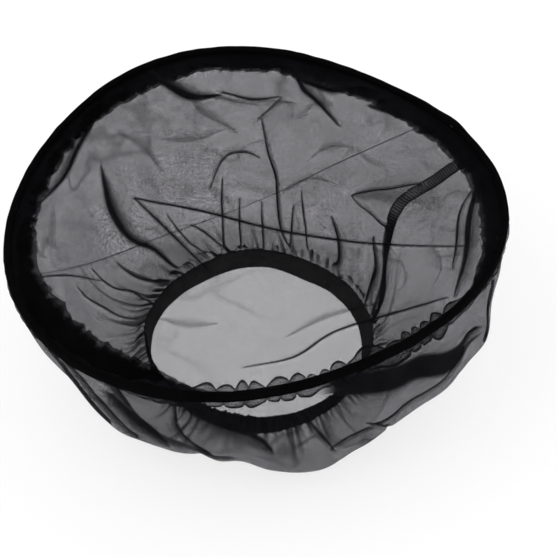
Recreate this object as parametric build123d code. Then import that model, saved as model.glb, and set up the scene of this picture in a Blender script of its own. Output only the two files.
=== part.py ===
from build123d import *
import os
from math import atan2, ceil, cos, degrees, hypot, pi, radians, sin

# A beekeeping veil: a spring-wire hoop in a sewn rim holds the top open under a net crown,
# and a net side wall hangs from the rim and is gathered onto an elastic neck band.
# Millimetres. +Z is up. The origin is the middle of the neck opening, on the surface that
# the neck band stands on, and -Y is the front.

# ---------------------------------------------------------------- driving dimensions
HOOP_R = 157.6  # mean radius of the hoop, to the middle of its wire
HOOP_Z = 128.0  # height of the wire above the surface
# The sewn net springs the hoop out of round: waves round it, their height and their phase.
HOOP_WAVES = ((1, 5.3, 198), (2, 6.3, 53.5), (3, 6.2, -25), (4, 1.5, 55))
WIRE_D = 2.4  # spring-steel wire
WIRE_GAP = 1.0  # between the wire's two ends, inside the ferrule
FERRULE_WALL = 0.5
FERRULE_LENGTH = 24.0
FERRULE_CLEARANCE = 0.02
JOIN_ANGLE = 33.0  # where the hoop, its ferrule and the rim tape are joined, from +X to +Y

TAPE_THICKNESS = 0.6  # woven tape, folded over the wire
TAPE_GAP = 3.6  # between the tape's two legs
TAPE_TOP = 2.6  # of the fold, above the middle of the wire
TAPE_BOTTOM = -5.4  # of the legs, from the middle of the wire
LAP_LENGTH = 26.0  # where the tape's ends overlap
LAP_THICKNESS = 0.5

NET_THICKNESS = 0.8  # a net panel, with its loft
FACING_WIDTH = 20.0  # the turned-in net hem inside the rim
FACING_THICKNESS = 0.8
FRILL_HEIGHT = 5.0  # the gathered seam allowance that stands clear of the tape
FRILL_THICKNESS = 0.6
FRILL_CLEARANCE = 0.2

NECK_R = 72.0  # inside of the neck band, relaxed
BAND_HEIGHT = 17.0
BAND_THICKNESS = 0.7
BAND_GAP = 2.6  # between the band's two legs
ELASTIC_WIDTH = 12.0
ELASTIC_THICKNESS = 1.0
ELASTIC_Z = 1.2  # lower edge of the elastic
ELASTIC_LAP = 22.0  # where the elastic's ends overlap
BACK_ANGLE = 90.0  # the elastic's ends overlap at the back of the neck

SEAM_THICKNESS = 1.0
SEAM_CLEARANCE = 0.5

STITCH_LENGTH = 3.0
STITCH_PITCH = 4.5
THREAD_D = 0.5
OUTLINE_STEP = 10  # degrees between the points of a closed curve round the rim or the wall
PATH_STEP = 4  # and of an open one, whose ends need closer points
LOOP_PITCH = 4.0  # of the overlock loops along the side seam
TACK_BARS = 5  # bars of a tack
TACK_PITCH = 3.5

# The side wall's outlines from the rim down: height, mean radius, and how much of the
# hoop's waves is left. The first two stand in the mouth of the rim tape.
WALL_OUTLINES = (
    (HOOP_Z - WIRE_D / 2 - 0.6, HOOP_R, 1.0),
    (HOOP_Z + TAPE_BOTTOM - 2.0, HOOP_R, 1.0),
    (96.0, 155.0, 0.7),
    (60.0, 145.5, 0.5),
    (30.0, 128.5, 0.35),
    (14.0, 113.5, 0.2),
    (6.0, 104.0, 0.0),
)
# From there the net turns in over the surface, and up over the band into its mouth:
# radius, height.
MOUTH_R = NECK_R + BAND_THICKNESS + BAND_GAP / 2
WALL_FOOT = (
    (104.0, 6.0),
    (102.0, 2.2),
    (97.0, 1.2),
    (90.0, 2.0),
    (84.0, 7.0),
    (79.5, 15.0),
    (77.0, 19.5),
    (MOUTH_R + 0.8, 20.0),
    (MOUTH_R, 18.5),
    (MOUTH_R, BAND_HEIGHT - 2.4),
)
# The wall's one seam swings round as it comes down, because the net is gathered unevenly.
# Stations: height or, on the foot, radius; angle from +X to +Y; the seam allowance's width;
# and how far it stands off the net, which curves too tightly for it low down.
SEAM_HEIGHTS = (
    (119.0, 25, 8.0, 0.0),
    (96.0, 29.5, 8.0, 0.2),
    (60.0, 38, 8.0, 0.3),
    (30.0, 45.5, 6.0, 0.4),
    (14.0, 44, 5.0, 0.8),
    (8.0, 38, 4.0, 1.8),
)
SEAM_FOOT = ((97.0, 27, 4.0, 2.0), (90.0, 17, 4.0, 2.0), (85.0, 10, 4.0, 2.0))

# ---------------------------------------------------------------- shared shapes
def hoop_radius(angle, mean=HOOP_R, share=1.0):
    """The out-of-round hoop's radius at an angle, or that of an outline of the wall."""
    waves = sum(height * cos(radians(n * angle - phase)) for n, height, phase in HOOP_WAVES)
    return mean + share * waves


def hoop_heading(angle):
    """Which way the rim faces at an angle, in degrees from +X."""
    r = hoop_radius(angle)
    rise = sum(-n * height * sin(radians(n * angle - phase)) for n, height, phase in HOOP_WAVES)
    return angle - degrees(atan2(rise, r))


def rim_point(angle, outset=0.0, height=0.0):
    """A point on the rim, outset from the middle of the wire and above it."""
    place = Vector(hoop_radius(angle), 0, 0).rotate(Axis.Z, angle)
    facing = Vector(outset, 0, 0).rotate(Axis.Z, hoop_heading(angle))
    return place + facing + Vector(0, 0, HOOP_Z + height)


def rim_outline(outset, height=0.0):
    """The face inside a closed curve that runs round the rim."""
    return face_inside(rim_point(angle, outset, height) for angle in range(0, 360, OUTLINE_STEP))


def wall_outline(height, mean, share, grow):
    """The face inside the wall at one height."""
    places = (
        Vector(hoop_radius(angle, mean, share) + grow, 0, height).rotate(Axis.Z, angle)
        for angle in range(0, 360, OUTLINE_STEP)
    )
    return face_inside(places)


def face_inside(points):
    return make_face(Spline(*points, periodic=True))


def rim_ring(outer, inner, low, high):
    """A ring round the rim, between two distances from the wire's middle line."""
    ring = rim_outline(outer, low) - rim_outline(inner, low)
    return extrude(ring, high - low, dir=(0, 0, 1))


def round_ring(outer, inner, low, high):
    """A round ring about the neck's axis."""
    return Pos(0, 0, low) * extrude(Circle(outer) - Circle(inner), high - low)


def rim_frame(angle, outset=0.0, height=0.0):
    """A place on the rim: X points out of the rim, Y along it and Z up."""
    return Location(rim_point(angle, outset, height), (0, 0, hoop_heading(angle)))


def neck_frame(angle, radius, height):
    """A place on the neck band: X points out of the band, Y along it and Z up."""
    return Rot(0, 0, angle) * Pos(radius, 0, height)


def rim_span(length, angle=JOIN_ANGLE):
    """The angle that a short length takes up along the rim."""
    speed = (rim_point(angle + 1) - rim_point(angle - 1)).length / 2
    return length / speed


def rim_length(outset=0.0):
    return 2 * pi * (HOOP_R + outset)


def along_rim(section, start, turn):
    """A section swept along the wire's middle line, from one angle through a turn."""
    steps = max(ceil(turn / PATH_STEP), 6)
    path = Spline(*[rim_point(start + turn * i / steps) for i in range(steps + 1)])
    return sweep(Plane(origin=path @ 0, z_dir=path % 0) * section, path=path)


def shifted(points, distance):
    """A run of (radius, height) points moved sideways, towards the inside of the veil."""
    moved = []
    for i, (r, z) in enumerate(points):
        before, after = points[max(i - 1, 0)], points[min(i + 1, len(points) - 1)]
        dr, dz = after[0] - before[0], after[1] - before[1]
        size = hypot(dr, dz)
        moved.append((r + distance * dz / size, z - distance * dr / size))
    return moved


def ribbon(points, inner, outer):
    """A face in the XZ plane that follows the points between two distances from them."""
    outline = shifted(points, outer) + shifted(points, inner)[::-1]
    return Plane.XZ * make_face(Polyline(*outline, close=True))


def save(node, *solids):
    """Writes one sub-part, which may be a group of separate solids."""
    shape = solids[0] if len(solids) == 1 else Compound(children=list(solids))
    shape.label = node
    export_step(shape, f"parts/{node}.step")


# ---------------------------------------------------------------- neck band
def neck_casing():
    """Woven tape folded up round the elastic, with its mouth at the top."""
    inner_leg = NECK_R + BAND_THICKNESS
    outer_leg = inner_leg + BAND_GAP
    outside = outer_leg + BAND_THICKNESS
    casing = round_ring(outside, NECK_R, 0, BAND_HEIGHT)
    return casing - round_ring(outer_leg, inner_leg, BAND_THICKNESS, BAND_HEIGHT + 1)


def elastic_radius():
    return NECK_R + BAND_THICKNESS + 0.2


def neck_elastic():
    """Flat elastic sewn into a loop, with one end lapped over the other."""
    inside = elastic_radius()
    outside = inside + ELASTIC_THICKNESS
    low, high = ELASTIC_Z, ELASTIC_Z + ELASTIC_WIDTH
    half_lap = degrees(ELASTIC_LAP / 2 / outside)
    second = round_ring(outside + ELASTIC_THICKNESS, outside, low, high)
    wedge_reach = 2 * outside
    wedge = make_face(
        Polyline(
            (0, 0),
            (wedge_reach * cos(radians(BACK_ANGLE - half_lap)),
             wedge_reach * sin(radians(BACK_ANGLE - half_lap))),
            (wedge_reach * cos(radians(BACK_ANGLE + half_lap)),
             wedge_reach * sin(radians(BACK_ANGLE + half_lap))),
            close=True,
        )
    )
    lap = second & Pos(0, 0, low) * extrude(wedge, ELASTIC_WIDTH)
    return round_ring(outside, inside, low, high) + lap


def neck_elastic_tack():
    """Thread bars through both layers of the elastic's lap."""
    middle = elastic_radius() + ELASTIC_THICKNESS
    length = 2 * ELASTIC_THICKNESS + 0.2
    height = ELASTIC_Z + ELASTIC_WIDTH / 2
    bars = []
    for i in range(TACK_BARS):
        step = degrees((i - (TACK_BARS - 1) / 2) * TACK_PITCH / middle)
        bar = Box(length, THREAD_D, ELASTIC_WIDTH - 3)
        bars.append(neck_frame(BACK_ANGLE + step, middle, height) * bar)
    return bars


def neck_stitching():
    """The row of stitches that closes the band's mouth, seen on its outer leg."""
    radius = NECK_R + BAND_GAP + 2 * BAND_THICKNESS
    count = round(2 * pi * radius / STITCH_PITCH)
    stitch = Box(THREAD_D, STITCH_LENGTH, THREAD_D)
    height = BAND_HEIGHT - 1.4
    return [neck_frame(360 * i / count, radius, height) * stitch for i in range(count)]


# ---------------------------------------------------------------- side wall
def side_wall():
    """The net wall, from the rim tape's mouth down and in to the neck band's mouth."""
    half = NET_THICKNESS / 2

    def shell(grow):
        return loft([wall_outline(*row, grow) for row in WALL_OUTLINES], ruled=True)

    hung = shell(half) - shell(-half)
    foot = revolve(ribbon(WALL_FOOT, -half, half), Axis.Z)
    return hung + foot


def wall_inside(angle, inset):
    """The wall's (radius, height) points at one angle, moved to the inside of the veil."""
    hung = [(hoop_radius(angle, mean, share), z) for z, mean, share in WALL_OUTLINES[:-1]]
    return shifted(hung + list(WALL_FOOT), inset)


def point_at_height(angle, inset, height):
    line = wall_inside(angle, inset)
    for (r0, z0), (r1, z1) in zip(line, line[1:]):
        if z0 >= height >= z1:
            return r0 + (r1 - r0) * (z0 - height) / (z0 - z1), height


def point_at_radius(angle, inset, radius):
    line = wall_inside(angle, inset)[len(WALL_OUTLINES):]
    for (r0, z0), (r1, z1) in zip(line, line[1:]):
        if r0 >= radius >= r1:
            return radius, z0 + (z1 - z0) * (r0 - radius) / (r0 - r1)


def seam_line(inset):
    """Points down the middle of the seam, inset from the net's middle."""
    line = []
    for z, angle, _, lift in SEAM_HEIGHTS:
        r, _ = point_at_height(angle, inset + lift, z)
        line.append(Vector(r, 0, z).rotate(Axis.Z, angle))
    for r, angle, _, lift in SEAM_FOOT:
        _, z = point_at_radius(angle, inset + lift, r)
        line.append(Vector(r, 0, z).rotate(Axis.Z, angle))
    return line


def seam_stations():
    """The strip's width, and a plane across it: X across the strip, Y into the veil."""
    middle = NET_THICKNESS / 2 + SEAM_CLEARANCE + SEAM_THICKNESS / 2
    line, deeper = seam_line(middle), seam_line(middle + 1)
    stations = []
    for i, (_, _, width, _) in enumerate(SEAM_HEIGHTS + SEAM_FOOT):
        along = line[min(i + 1, len(line) - 1)] - line[max(i - 1, 0)]
        across = (deeper[i] - line[i]).cross(along)
        stations.append((width, Plane(origin=line[i], x_dir=across, z_dir=along)))
    return stations


def side_seam():
    """The wall's overlocked seam allowance, laid against the inside of the net."""
    sections = [plane * Rectangle(width, SEAM_THICKNESS) for width, plane in seam_stations()]
    return loft(sections, ruled=True)


def side_seam_overlock():
    """Overlock loops across the seam strip, on its inner face."""
    stations = seam_stations()
    loops = []
    for (near_width, near), (far_width, far) in zip(stations, stations[1:]):
        run = far.origin - near.origin
        count = int(run.length / LOOP_PITCH)
        inward = (near.y_dir + far.y_dir).normalized()
        width = min(near_width, far_width) - 0.6
        for i in range(count):
            place = near.origin + run * ((i + 0.5) / count) + inward * (SEAM_THICKNESS / 2)
            across = Plane(origin=place, x_dir=inward.cross(run), z_dir=run)
            loops.append(across * Box(width, THREAD_D, THREAD_D))
    return loops


# ---------------------------------------------------------------- crown and rim
def crown_panel():
    """The net disc that closes the top, edge to edge with the rim tape."""
    edge = -TAPE_GAP / 2 - TAPE_THICKNESS
    return extrude(rim_outline(edge), NET_THICKNESS, dir=(0, 0, 1))


def rim_hoop():
    """Spring wire bent to the rim, with its two ends meeting in the ferrule."""
    gap = rim_span(WIRE_GAP)
    return along_rim(Circle(WIRE_D / 2), JOIN_ANGLE + gap / 2, 360 - gap)


def hoop_ferrule():
    """The crimped sleeve over the wire's ends."""
    turn = rim_span(FERRULE_LENGTH)
    section = Circle(WIRE_D / 2 + FERRULE_WALL) - Circle(WIRE_D / 2 + FERRULE_CLEARANCE)
    return along_rim(section, JOIN_ANGLE - turn / 2, turn)


def rim_tape():
    """Woven tape folded down over the wire, with its mouth at the bottom."""
    inside = TAPE_GAP / 2
    outside = inside + TAPE_THICKNESS
    tape = rim_ring(outside, -outside, TAPE_BOTTOM, TAPE_TOP)
    return tape - rim_ring(inside, -inside, TAPE_BOTTOM - 1, TAPE_TOP - TAPE_THICKNESS)


def rim_tape_lap():
    """The tape's end, lapped over its start on the outside of the rim."""
    outside = TAPE_GAP / 2 + TAPE_THICKNESS
    band = rim_ring(outside + LAP_THICKNESS, outside, TAPE_BOTTOM, TAPE_TOP)
    window = Box(10, LAP_LENGTH, TAPE_TOP - TAPE_BOTTOM + 2)
    return band & rim_frame(JOIN_ANGLE) * window


def rim_lap_tack():
    """Thread bars that hold the tape's lap."""
    outset = TAPE_GAP / 2 + TAPE_THICKNESS + LAP_THICKNESS
    middle = (TAPE_TOP + TAPE_BOTTOM) / 2
    bars = []
    for i in range(TACK_BARS):
        step = rim_span((i - (TACK_BARS - 1) / 2) * TACK_PITCH)
        bar = Box(THREAD_D, THREAD_D, TAPE_TOP - TAPE_BOTTOM - 2)
        bars.append(rim_frame(JOIN_ANGLE + step, outset, middle) * bar)
    return bars


def rim_facing():
    """The turned-in net hem that lies under the crown's edge."""
    outer = -TAPE_GAP / 2 - TAPE_THICKNESS
    return rim_ring(outer, -FACING_WIDTH, -FACING_THICKNESS, 0)


def crown_frill():
    """The crown's gathered seam allowance, standing on top of the tape."""
    half = FRILL_THICKNESS / 2
    low = TAPE_TOP + FRILL_CLEARANCE
    return rim_ring(half, -half, low, low + FRILL_HEIGHT)


def wall_frill():
    """The wall's gathered seam allowance, hanging below the tape on the outside."""
    inner = TAPE_GAP / 2
    high = TAPE_BOTTOM - FRILL_CLEARANCE
    return rim_ring(inner + FRILL_THICKNESS, inner, high - FRILL_HEIGHT, high)


def rim_stitching():
    """The row of stitches through the tape's outer leg."""
    outset = TAPE_GAP / 2 + TAPE_THICKNESS
    count = round(rim_length() / STITCH_PITCH)
    half_lap = rim_span(LAP_LENGTH) / 2 + rim_span(STITCH_LENGTH)
    stitches = []
    for i in range(count):
        angle = 360 * i / count
        if abs(angle - JOIN_ANGLE) > half_lap:
            stitch = Box(THREAD_D, STITCH_LENGTH, THREAD_D)
            stitches.append(rim_frame(angle, outset, TAPE_BOTTOM + 1.4) * stitch)
    return stitches


def facing_stitching():
    """The row of stitches that holds the hem's inner edge to the crown."""
    inset = -FACING_WIDTH + 2.0
    count = round(rim_length(inset) / STITCH_PITCH)
    stitch = Box(THREAD_D, STITCH_LENGTH, THREAD_D)
    return [
        rim_frame(360 * i / count, inset, -FACING_THICKNESS) * stitch for i in range(count)
    ]


# ---------------------------------------------------------------- one file for each node
SINGLE_PIECES = (
    neck_casing,
    neck_elastic,
    side_wall,
    side_seam,
    crown_panel,
    rim_hoop,
    hoop_ferrule,
    rim_tape,
    rim_tape_lap,
    rim_facing,
    crown_frill,
    wall_frill,
)
THREAD_GROUPS = (
    neck_elastic_tack,
    neck_stitching,
    side_seam_overlock,
    rim_lap_tack,
    rim_stitching,
    facing_stitching,
)

os.makedirs("parts", exist_ok=True)
for make in SINGLE_PIECES:
    save(make.__name__, make())
for make in THREAD_GROUPS:
    save(make.__name__, *make())
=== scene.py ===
import math

import bmesh
import bpy
import numpy as np
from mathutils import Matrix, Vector, noise
from mathutils.bvhtree import BVHTree


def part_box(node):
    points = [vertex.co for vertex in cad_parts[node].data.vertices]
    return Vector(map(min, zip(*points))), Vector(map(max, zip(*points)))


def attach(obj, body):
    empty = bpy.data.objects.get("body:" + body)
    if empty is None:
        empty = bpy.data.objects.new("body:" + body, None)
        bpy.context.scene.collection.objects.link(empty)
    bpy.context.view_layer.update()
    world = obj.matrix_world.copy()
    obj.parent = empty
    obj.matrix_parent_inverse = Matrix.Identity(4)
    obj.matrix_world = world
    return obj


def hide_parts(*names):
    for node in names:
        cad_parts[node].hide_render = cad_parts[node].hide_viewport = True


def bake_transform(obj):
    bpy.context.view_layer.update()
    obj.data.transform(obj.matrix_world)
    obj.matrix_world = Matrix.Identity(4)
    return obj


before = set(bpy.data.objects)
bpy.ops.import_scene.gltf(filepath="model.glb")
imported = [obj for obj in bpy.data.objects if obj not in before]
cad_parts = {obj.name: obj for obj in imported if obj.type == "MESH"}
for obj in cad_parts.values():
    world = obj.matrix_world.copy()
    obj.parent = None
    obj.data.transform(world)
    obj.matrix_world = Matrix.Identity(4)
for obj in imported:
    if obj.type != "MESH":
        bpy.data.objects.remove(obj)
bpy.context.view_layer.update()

# -------- places, from the frame
MM = 0.001
WIRE_LOW, WIRE_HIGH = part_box("rim_hoop")
HOOP_Z = (WIRE_HIGH.z + WIRE_LOW.z) / 2
BAND_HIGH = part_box("neck_casing")[1]
ELASTIC_LOW, ELASTIC_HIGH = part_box("neck_elastic")
BAND_R = BAND_HIGH.x
BAND_H = BAND_HIGH.z


def noise_at(x, y=0.0, z=0.0):
    """Smooth seeded noise, about -1 to 1."""
    return noise.noise(Vector((x, y, z)))


def smooth(t):
    """An S-shaped step from 0 to 1."""
    t = np.clip(t, 0.0, 1.0)
    return t * t * (3 - 2 * t)


def circle(steps):
    """Angles evenly spaced round a circle, each with its cosine and sine."""
    for k in range(steps):
        angle = 2 * math.pi * k / steps
        yield angle, math.cos(angle), math.sin(angle)


def by_angle(angle, keys):
    """A smooth periodic value from a few (degrees, value) keys."""
    at = math.degrees(angle) % 360
    keys = sorted(keys)
    ring = [(keys[-1][0] - 360, keys[-1][1])] + keys + [(keys[0][0] + 360, keys[0][1])]
    for (a0, v0), (a1, v1) in zip(ring, ring[1:]):
        if a0 <= at <= a1:
            t = (at - a0) / (a1 - a0)
            return v0 + (v1 - v0) * t * t * (3 - 2 * t)
    return keys[0][1]


WAVES = 5  # waves round the rim that its outline is made of


def wave_terms(turn):
    """One, and the cosine and sine of each wave round the rim, at a place or at many."""
    turn = np.asarray(turn, float)
    waves = [wave(k * turn) for k in range(1, WAVES + 1) for wave in (np.cos, np.sin)]
    return np.stack([np.ones_like(turn)] + waves, -1)


def hoop_outline():
    """The middle of the wire as a mean radius and waves round it, fitted to the CAD hoop's mesh."""
    wire = bpy.data.objects["rim_hoop"]
    at = np.array([wire.matrix_world @ v.co for v in wire.data.vertices])
    turn = np.arctan2(at[:, 1], at[:, 0])
    return np.linalg.lstsq(wave_terms(turn), np.hypot(at[:, 0], at[:, 1]), rcond=None)[0]


HOOP = hoop_outline()


def hoop_radius(turn):
    return wave_terms(turn) @ HOOP


def rim_point(turn, out=0.0, up=0.0):
    """A point on the rim: out is outward from the wire, up is above it."""
    step = 0.01
    r = hoop_radius(turn)
    facing = turn - math.atan2(hoop_radius(turn + step) - hoop_radius(turn - step), 2 * step * r)
    return Vector((r * math.cos(turn) + out * math.cos(facing),
                   r * math.sin(turn) + out * math.sin(facing), HOOP_Z + up))


def mesh_object(name, verts, faces, uvs=None):
    """A smooth-shaded object. uvs are its points' places on the cloth, in metres."""
    mesh = bpy.data.meshes.new(name)
    mesh.from_pydata([tuple(v) for v in verts], [], faces)
    if uvs is not None:
        layer = mesh.uv_layers.new(name="cloth")
        loops = np.zeros(len(mesh.loops), np.int32)
        mesh.loops.foreach_get("vertex_index", loops)
        layer.data.foreach_set("uv", np.array(uvs, np.float32)[loops].ravel())
    mesh.shade_smooth()
    mesh.update()
    obj = bpy.data.objects.new(name, mesh)
    bpy.context.scene.collection.objects.link(obj)
    return obj


# -------- camera, floor and light
def make_camera():
    cam = bpy.data.objects.new("camera", bpy.data.cameras.new("camera"))
    bpy.context.scene.collection.objects.link(cam)
    elevation = math.radians(47.0)
    distance = 4.0
    width_shown = 0.3688  # how much of the target's plane the picture holds
    target = Vector((0.0139, 0.0, 0.070))
    away = Vector((0, -math.cos(elevation), math.sin(elevation)))
    cam.location = target + distance * away
    cam.rotation_euler = (math.pi / 2 - elevation, 0, 0)
    cam.data.sensor_width = 36
    cam.data.lens = cam.data.sensor_width * distance / width_shown
    cam.data.clip_end = 20
    bpy.context.scene.camera = cam


def make_stage():
    half = 6.0
    corners = [(-half, -half, 0), (half, -half, 0), (half, half, 0), (-half, half, 0)]
    floor = mesh_object("floor", corners, [(0, 1, 2, 3)])
    mat = bpy.data.materials.new("floor_white")
    mat.use_nodes = True
    shader = mat.node_tree.nodes["Principled BSDF"]
    shader.inputs["Roughness"].default_value = 0.9
    shader.inputs["Specular IOR Level"].default_value = 0.0
    shader.inputs["Base Color"].default_value = (0.30, 0.30, 0.30, 1)
    shader.inputs["Emission Color"].default_value = (1, 1, 1, 1)
    shader.inputs["Emission Strength"].default_value = 0.74
    floor.data.materials.append(mat)
    world = bpy.data.worlds.new("studio")
    world.use_nodes = True
    world.node_tree.nodes["Background"].inputs["Color"].default_value = (1, 1, 1, 1)
    world.node_tree.nodes["Background"].inputs["Strength"].default_value = 0.88
    bpy.context.scene.world = world
    key = bpy.data.objects.new("key", bpy.data.lights.new("key", "AREA"))
    key.data.shape = "DISK"
    key.data.size = 1.6
    key.data.energy = 9
    key.location = (-0.9, -0.5, 2.0)
    key.rotation_euler = (Vector((0, 0, 0.05)) - key.location).to_track_quat("-Z", "Y").to_euler()
    bpy.context.scene.collection.objects.link(key)
    bpy.context.scene.view_settings.view_transform = "Standard"
    bpy.context.scene.cycles.transparent_max_bounces = 40


make_camera()
make_stage()


# -------- materials
CLEAR_TINT = (0.992, 0.988, 1.0, 1)  # the net's fine hairs, which let a little more blue through
CLOTH_FINISH = (0.9, 0.01)  # roughness and specular level: matt black thread
FINE_WANDER = (700.0, 1.5)  # noise scale, and how many cells it moves the net's threads
SLOW_WANDER = (45.0, 2.5)


class Nodes:
    """Builds one material's node tree with short calls."""

    def __init__(self, name):
        self.mat = bpy.data.materials.new(name)
        self.mat.use_nodes = True
        self.tree = self.mat.node_tree
        self.shader = self.tree.nodes["Principled BSDF"]
        self.out = self.tree.nodes["Material Output"]

    def put(self, socket, value):
        if isinstance(value, bpy.types.NodeSocket):
            self.tree.links.new(value, socket)
        elif value is not None:
            socket.default_value = value

    def math(self, operation, a, b=None, c=None, clamp=False):
        node = self.tree.nodes.new("ShaderNodeMath")
        node.operation = operation
        node.use_clamp = clamp
        for socket, value in zip(node.inputs, (a, b, c)):
            self.put(socket, value)
        return node.outputs[0]

    def attribute(self, name):
        node = self.tree.nodes.new("ShaderNodeAttribute")
        node.attribute_name = name
        return node.outputs["Fac"]

    def cloth_uv(self):
        node = self.tree.nodes.new("ShaderNodeUVMap")
        node.uv_map = "cloth"
        parts = self.tree.nodes.new("ShaderNodeSeparateXYZ")
        self.put(parts.inputs[0], node.outputs[0])
        return parts.outputs[0], parts.outputs[1]

    def place(self):
        return self.tree.nodes.new("ShaderNodeTexCoord").outputs["Object"]

    def noise(self, vector, scale, detail=2.0, rough=0.5):
        node = self.tree.nodes.new("ShaderNodeTexNoise")
        self.put(node.inputs["Vector"], vector)
        node.inputs["Scale"].default_value = scale
        node.inputs["Detail"].default_value = detail
        node.inputs["Roughness"].default_value = rough
        return node.outputs["Fac"]

    def colour(self, factor, stops):
        """Base colour from a factor, through (place, colour) stops."""
        node = self.tree.nodes.new("ShaderNodeValToRGB")
        self.put(node.inputs[0], factor)
        first, last = node.color_ramp.elements[0], node.color_ramp.elements[1]
        first.position, first.color = stops[0][0], (*stops[0][1], 1)
        last.position, last.color = stops[-1][0], (*stops[-1][1], 1)
        for position, colour in stops[1:-1]:
            node.color_ramp.elements.new(position).color = (*colour, 1)
        self.put(self.shader.inputs["Base Color"], node.outputs["Color"])

    def bump(self, height, strength, distance):
        node = self.tree.nodes.new("ShaderNodeBump")
        node.inputs["Strength"].default_value = strength
        node.inputs["Distance"].default_value = distance
        self.put(node.inputs["Height"], height)
        self.put(self.shader.inputs["Normal"], node.outputs[0])

    def see_through(self, cover):
        """Mixes the shader over clear space by how much the threads cover."""
        clear = self.tree.nodes.new("ShaderNodeBsdfTransparent")
        clear.inputs["Color"].default_value = CLEAR_TINT
        mix = self.tree.nodes.new("ShaderNodeMixShader")
        self.put(mix.inputs[0], cover)
        self.tree.links.new(clear.outputs[0], mix.inputs[1])
        self.tree.links.new(self.shader.outputs[0], mix.inputs[2])
        self.tree.links.new(mix.outputs[0], self.out.inputs["Surface"])

    def finish(self, roughness, specular):
        self.shader.inputs["Roughness"].default_value = roughness
        self.shader.inputs["Specular IOR Level"].default_value = specular
        return self.mat


def net_material(name, pitch, thread, colour, turned):
    """Fine knitted net: crossed threads round open cells, a little out of line. The mesh's closed
    attribute fills the cells where the net is pressed into a fold."""
    n = Nodes(name)
    u, v = n.cloth_uv()
    slow = n.math("MULTIPLY", n.noise(n.place(), SLOW_WANDER[0], 1.0), SLOW_WANDER[1])
    wander = n.math("MULTIPLY_ADD", n.noise(n.place(), FINE_WANDER[0], 1.0), FINE_WANDER[1], slow)
    c, s = math.cos(turned) / pitch, math.sin(turned) / pitch
    net = None
    for cu, cv in ((c, s), (-s, c)):
        along = n.math("MULTIPLY_ADD", u, cu, n.math("MULTIPLY", v, cv))
        line = n.math("PINGPONG", n.math("ADD", wander, along), 0.5)
        threads = n.math("LESS_THAN", line, thread / pitch / 2)
        net = n.math("MAXIMUM", net, threads) if net else threads
    n.see_through(n.math("MAXIMUM", net, n.attribute("closed"), clamp=True))
    shade = n.noise(n.place(), 60.0, 3.0)
    dark = tuple(c * 0.75 for c in colour)
    bright = tuple(c * 1.35 for c in colour)
    n.colour(shade, ((0.3, dark), (0.7, bright)))
    return n.finish(*CLOTH_FINISH)


def woven_material(name, colour, rib):
    """Narrow woven tape: ribs across it, a finer thread along them, and a little fluff in the colour."""
    n = Nodes(name)
    u, v = n.cloth_uv()
    ribs = n.math("PINGPONG", n.math("DIVIDE", u, rib), 0.5)
    picks = n.math("PINGPONG", n.math("DIVIDE", v, rib * 0.8), 0.5)
    weave = n.math("ADD", ribs, n.math("MULTIPLY", picks, 0.6))
    fluff = n.noise(n.place(), 220.0, 3.0, 0.7)
    patches = n.noise(n.place(), 35.0, 2.0)
    mixed = n.math("ADD", n.math("MULTIPLY", fluff, 0.5), n.math("MULTIPLY", patches, 0.5))
    dark = tuple(c * 0.6 for c in colour)
    bright = tuple(c * 1.7 for c in colour)
    n.colour(mixed, ((0.3, dark), (0.72, bright)))
    n.bump(n.math("ADD", weave, n.math("MULTIPLY", fluff, 0.4)), 0.8, 0.2 * MM)
    return n.finish(*CLOTH_FINISH)


def overlock_material(name, loop, half, bound):
    """Net edges bound in thread: pale loops across a dark strip, darker at its edges, and plain dark net
    below the length that is bound. half is the strip's half width."""
    n = Nodes(name)
    u, v = n.cloth_uv()
    loops = n.math("PINGPONG", n.math("DIVIDE", u, loop), 0.5)
    aside = n.math("ABSOLUTE", n.math("DIVIDE", n.math("SUBTRACT", v, 2 * half), half))
    inside = n.math("SUBTRACT", 1.0, n.math("POWER", aside, 4.0), clamp=True)
    fluff = n.noise(n.place(), 260.0, 3.0, 0.7)
    patches = n.noise(n.place(), 60.0, 2.0)
    pale = n.math("MULTIPLY_ADD", loops, 1.1, n.math("MULTIPLY", patches, 0.5))
    shade = n.math("MULTIPLY_ADD", fluff, 0.3, n.math("MULTIPLY", pale, inside))
    high = n.math("DIVIDE", n.math("SUBTRACT", bound, u), 0.02, clamp=True)
    shade = n.math("MULTIPLY", shade, n.math("MULTIPLY_ADD", high, 0.75, 0.25))
    stops = ((0.25, (0.012, 0.012, 0.013)), (0.5, (0.08, 0.08, 0.084)), (0.8, (0.32, 0.32, 0.33)))
    n.colour(shade, stops)
    n.bump(n.math("ADD", loops, n.math("MULTIPLY", fluff, 0.4)), 0.8, 0.3 * MM)
    return n.finish(*CLOTH_FINISH)


def drawn_steel(name):
    """Bright drawn wire: fine marks along it and a few duller patches."""
    n = Nodes(name)
    marks = n.noise(n.place(), 900.0, 3.0, 0.7)
    patches = n.noise(n.place(), 40.0, 2.0)
    n.colour(patches, ((0.3, (0.34, 0.34, 0.35)), (0.7, (0.52, 0.52, 0.53))))
    n.shader.inputs["Metallic"].default_value = 1.0
    n.bump(marks, 0.3, 0.05 * MM)
    return n.finish(0.35, 0.5)


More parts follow.
